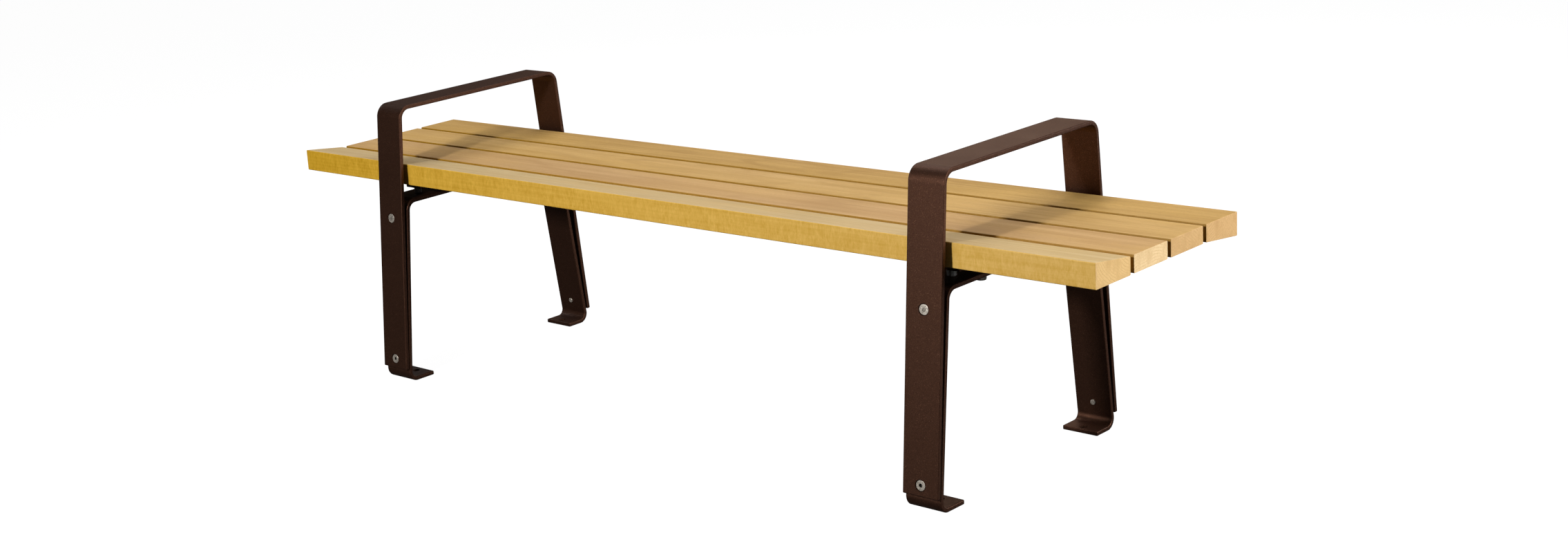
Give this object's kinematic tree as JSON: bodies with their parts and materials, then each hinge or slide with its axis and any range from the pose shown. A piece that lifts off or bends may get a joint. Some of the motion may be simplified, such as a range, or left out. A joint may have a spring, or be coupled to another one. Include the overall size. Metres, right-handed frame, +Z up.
{
  "type": "backless bench",
  "caption": "Backless street bench: long wooden slats on two flat-bar hoops that rise through the seat as armrests, with bolted inner frames and inward feet.",
  "frame": {"origin": "on the ground under the middle of the seat", "axes": "+X along the slats towards the right end as seen from the front, -Y towards the front (the slat with the raised edge), +Z up"},
  "size_m": [1.9, 0.5284, 0.56],
  "materials": {
    "slat_wood": "oiled tropical hardwood, planed, satin",
    "brown_coat": "chocolate-brown powder coat on steel flat bar, fine texture, semi-matt",
    "stainless": "plain stainless steel fasteners",
    "grey_plastic": "grey plastic spacers"
  },
  "bodies": {
    "root": {"slat_front": "slat_wood", "slat_mid_front": "slat_wood", "slat_mid_rear": "slat_wood", "slat_rear": "slat_wood", "hoop_left": "brown_coat", "hoop_right": "brown_coat", "frame_left": "brown_coat", "frame_right": "brown_coat", "rail_left": "brown_coat", "rail_right": "brown_coat", "rail_pad_left_front": "grey_plastic", "rail_pad_left_rear": "grey_plastic", "rail_pad_right_front": "grey_plastic", "rail_pad_right_rear": "grey_plastic", "hoop_bolt_left_front_upper": "stainless", "hoop_bolt_left_front_lower": "stainless", "hoop_bolt_left_rear_upper": "stainless", "hoop_bolt_left_rear_lower": "stainless", "hoop_bolt_right_front_upper": "stainless", "hoop_bolt_right_front_lower": "stainless", "hoop_bolt_right_rear_upper": "stainless", "hoop_bolt_right_rear_lower": "stainless", "rail_bolt_left_front": "stainless", "rail_washer_left_front": "stainless", "rail_bolt_left_rear": "stainless", "rail_washer_left_rear": "stainless", "rail_bolt_right_front": "stainless", "rail_washer_right_front": "stainless", "rail_bolt_right_rear": "stainless", "rail_washer_right_rear": "stainless", "slat_screw_left_front": "stainless", "slat_screw_left_mid_front": "stainless", "slat_screw_left_mid_rear": "stainless", "slat_screw_left_rear": "stainless", "slat_screw_right_front": "stainless", "slat_screw_right_mid_front": "stainless", "slat_screw_right_mid_rear": "stainless", "slat_screw_right_rear": "stainless"}
  },
  "joints": []
}
